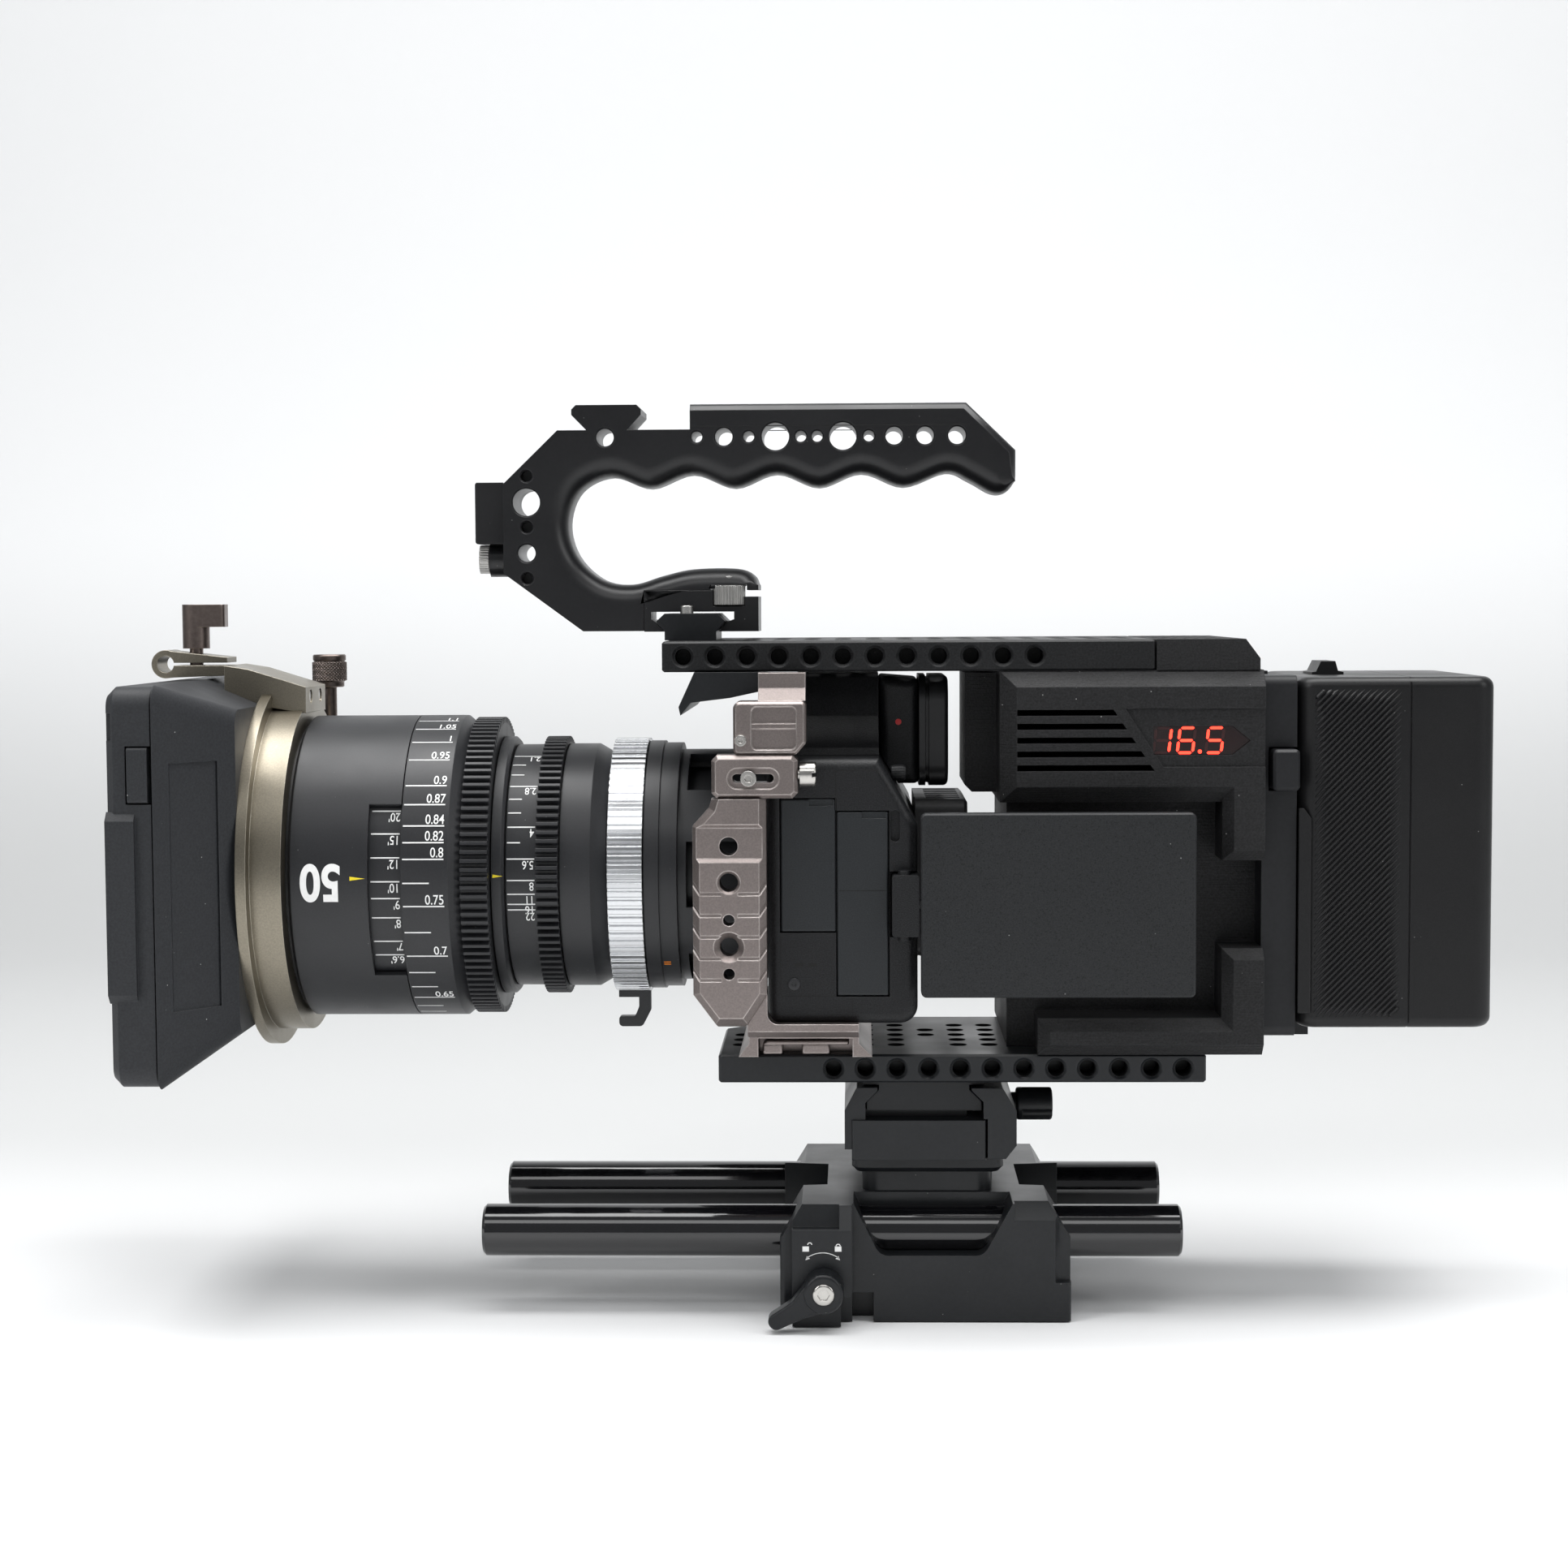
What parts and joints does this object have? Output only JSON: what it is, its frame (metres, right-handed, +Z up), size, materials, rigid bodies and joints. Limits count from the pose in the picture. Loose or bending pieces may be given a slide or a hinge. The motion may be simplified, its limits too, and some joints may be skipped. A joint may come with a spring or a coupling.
{
  "type": "cinema camera rig",
  "caption": "Compact camera in a part cage with cine lens, matte box, top handle, drilled plates, rod base, power module and block battery.",
  "frame": {"origin": "mouth of the tripod thread, at the centre of the rod base underside", "axes": "+X from the lens back to the battery, -Y the left side of the camera, +Z up"},
  "size_m": [0.3903, 0.152, 0.2635],
  "materials": {
    "black_anodised": "satin black anodised",
    "handle_black": "fine satin black anodised",
    "plate_black": "blasted black anodised",
    "rod_black": "glossy black anodised",
    "titanium_anodised": "satin warm grey anodised",
    "champagne_aluminium": "satin champagne anodised",
    "gunmetal": "satin gunmetal anodised",
    "polished_aluminium": "bright turned aluminium",
    "satin_silver": "satin silver",
    "stainless": "bright steel",
    "camera_paint": "fine textured black paint",
    "lens_black": "satin black anodised",
    "door_plastic": "satin",
    "grip_rubber": "leather-grained rubber",
    "eyecup_rubber": "smooth rubber",
    "lead_rubber": "glossy cable jacket",
    "screen_plastic": "fine speckled",
    "fan_plastic": "matt",
    "hood_plastic": "fine matt",
    "printed_plastic": "printed layers, granular",
    "mount_plastic": "satin",
    "battery_plastic": "satin moulded",
    "display_window": "tinted gloss",
    "coated_glass": "anti-reflection coated",
    "circuit": "solder mask",
    "cell_steel": "sleeved steel can"
  },
  "bodies": {
    "rig": {"rod_base": "black_anodised", "base_pedestal": "black_anodised", "qr_clamp_body": "black_anodised", "qr_plate": "black_anodised", "bottom_cheese_plate": "black_anodised", "rig_screws": "stainless", "cage_base": "titanium_anodised", "cage_side_plate": "titanium_anodised", "hdmi_clamp_block": "titanium_anodised", "cage_top_block": "titanium_anodised", "cage_front_bracket": "black_anodised", "camera_body": "camera_paint", "camera_grip": "grip_rubber", "eyepiece_tube": "camera_paint", "eyecup": "eyecup_rubber", "image_sensor": "circuit", "rear_fan": "fan_plastic", "power_lead": "lead_rubber", "lens_adapter": "lens_black", "lens_rear_barrel": "lens_black", "lens_front_barrel": "lens_black", "lens_elements": "coated_glass", "matte_box_hood": "hood_plastic", "matte_clamp_ring": "champagne_aluminium", "bracket_arm": "champagne_aluminium", "nato_rail": "black_anodised", "top_cheese_plate": "plate_black", "module_housing": "printed_plastic", "display_window": "display_window", "v_mount_plate": "mount_plastic"},
    "rod_left_body": {"rod_left": "rod_black"},
    "rod_right_body": {"rod_right": "rod_black"},
    "base_lever": {"clamp_lever": "black_anodised"},
    "jaw": {"qr_jaw": "black_anodised"},
    "jaw_knob": {"qr_knob": "black_anodised"},
    "cable_clamp_knob": {"hdmi_clamp_knob": "stainless"},
    "screen_arm": {"screen_hinge_arm": "camera_paint"},
    "screen": {"screen_panel": "screen_plastic"},
    "front_door": {"port_door_front": "door_plastic"},
    "rear_door": {"port_door_rear": "door_plastic"},
    "shutter": {"shutter_button": "camera_paint"},
    "dial": {"mode_dial": "camera_paint"},
    "lock_ring": {"adapter_lock_ring": "polished_aluminium", "adapter_lever": "lens_black"},
    "iris": {"iris_ring": "lens_black"},
    "focus": {"focus_ring": "lens_black"},
    "tray": {"filter_tray": "hood_plastic"},
    "latch": {"tray_latch": "hood_plastic"},
    "wing": {"wing_knob": "gunmetal"},
    "ring_screw": {"ring_thumbscrew": "gunmetal"},
    "handle": {"handle_body": "handle_black", "nato_clamp_block": "handle_black", "handle_front_block": "handle_black"},
    "wheel": {"nato_thumb_wheel": "satin_silver"},
    "front_screw": {"handle_thumbscrew": "satin_silver"},
    "rail_pin": {"nato_pin": "satin_silver"},
    "release": {"v_release_button": "mount_plastic"},
    "battery": {"battery_case": "battery_plastic", "battery_cells": "cell_steel"},
    "battery_tab": {"battery_button": "battery_plastic"}
  },
  "joints": [
    {"name": "rod_left_slide", "type": "slide", "parent": "rig", "child": "rod_left_body", "axis": [1, 0, 0], "range_m": [-0.03, 0.03]},
    {"name": "rod_right_slide", "type": "slide", "parent": "rig", "child": "rod_right_body", "axis": [1, 0, 0], "range_m": [-0.03, 0.03]},
    {"name": "base_lever_turn", "type": "hinge", "parent": "rig", "child": "base_lever", "pos_m": [-0.029, -0.053, 0.0113], "axis": [0, 1, 0], "range_deg": [0, 90]},
    {"name": "qr_jaw_slide", "type": "slide", "parent": "rig", "child": "jaw", "axis": [1, 0, 0], "range_m": [0, 0.00199]},
    {"name": "qr_knob_turn", "type": "hinge", "parent": "jaw", "child": "jaw_knob", "pos_m": [0.033, 0, 0.055], "axis": [1, 0, 0], "range_deg": [0, 720]},
    {"name": "cable_clamp_knob_turn", "type": "hinge", "parent": "rig", "child": "cable_clamp_knob", "pos_m": [-0.033, -0.0543, 0.1576], "axis": [1, 0, 0], "continuous": true},
    {"name": "screen_swing", "type": "hinge", "parent": "rig", "child": "screen_arm", "pos_m": [-0.006, -0.052, 0.1208], "axis": [0, 0, 1], "range_deg": [-90, 0]},
    {"name": "screen_tilt", "type": "hinge", "parent": "screen_arm", "child": "screen", "pos_m": [0, -0.053, 0.1208], "axis": [1, 0, 0], "range_deg": [-90, 180]},
    {"name": "front_door_open", "type": "hinge", "parent": "rig", "child": "front_door", "pos_m": [-0.04, -0.0494, 0.1317], "axis": [0, 0, -1], "range_deg": [0, 90]},
    {"name": "rear_door_open", "type": "hinge", "parent": "rig", "child": "rear_door", "pos_m": [-0.0242, -0.0494, 0.1228], "axis": [0, 0, -1], "range_deg": [0, 90]},
    {"name": "shutter_press", "type": "slide", "parent": "rig", "child": "shutter", "axis": [0, 0, -1], "range_m": [0, 0.0008], "stiffness_N_per_m": 300, "springref_m": -0.0005},
    {"name": "mode_dial_turn", "type": "hinge", "parent": "rig", "child": "dial", "pos_m": [-0.024, 0.048, 0.165], "axis": [0, 0, 1], "continuous": true},
    {"name": "lock_ring_turn", "type": "hinge", "parent": "rig", "child": "lock_ring", "pos_m": [-0.085, 0, 0.1275], "axis": [1, 0, 0], "range_deg": [0, 50]},
    {"name": "iris_turn", "type": "hinge", "parent": "rig", "child": "iris", "pos_m": [-0.11, 0, 0.1275], "axis": [1, 0, 0], "range_deg": [-60, 25]},
    {"name": "focus_turn", "type": "hinge", "parent": "rig", "child": "focus", "pos_m": [-0.14, 0, 0.1275], "axis": [1, 0, 0], "range_deg": [-90, 180]},
    {"name": "filter_tray_slide", "type": "slide", "parent": "rig", "child": "tray", "axis": [-1, 0, 0], "range_m": [0, 0.02]},
    {"name": "tray_latch_press", "type": "slide", "parent": "tray", "child": "latch", "axis": [0, 1, 0], "range_m": [0, 0.0008], "stiffness_N_per_m": 300, "springref_m": -0.0005},
    {"name": "wing_knob_turn", "type": "hinge", "parent": "rig", "child": "wing", "pos_m": [-0.2166, 0, 0.198], "axis": [0, 0, 1], "continuous": true},
    {"name": "ring_screw_turn", "type": "hinge", "parent": "rig", "child": "ring_screw", "pos_m": [-0.1865, 0.05, 0.18], "axis": [0, 0, 1], "continuous": true},
    {"name": "handle_slide", "type": "slide", "parent": "rig", "child": "handle", "axis": [0, 1, 0], "range_m": [0, 0.03]},
    {"name": "thumb_wheel_turn", "type": "hinge", "parent": "handle", "child": "wheel", "pos_m": [-0.0565, -0.0086, 0.207], "axis": [0, 0, 1], "continuous": true},
    {"name": "front_screw_turn", "type": "hinge", "parent": "handle", "child": "front_screw", "pos_m": [-0.129, 0, 0.2186], "axis": [1, 0, 0], "continuous": true},
    {"name": "rail_pin_press", "type": "slide", "parent": "rig", "child": "rail_pin", "axis": [0, 0, -1], "range_m": [0, 0.0022], "stiffness_N_per_m": 300, "springref_m": -0.0005},
    {"name": "battery_release_press", "type": "slide", "parent": "rig", "child": "release", "axis": [0, 1, 0], "range_m": [0, 0.0018], "stiffness_N_per_m": 300, "springref_m": -0.0005},
    {"name": "battery_lift", "type": "slide", "parent": "rig", "child": "battery", "axis": [0, 0, 1], "range_m": [0, 0.06]},
    {"name": "battery_tab_press", "type": "slide", "parent": "battery", "child": "battery_tab", "axis": [0, 0, -1], "range_m": [0, 0.0012], "stiffness_N_per_m": 300, "springref_m": -0.0005}
  ],
  "couplings": [
    {"joint": "qr_knob_turn", "follows": "qr_jaw_slide", "rad_per_m": 6283.2}
  ]
}
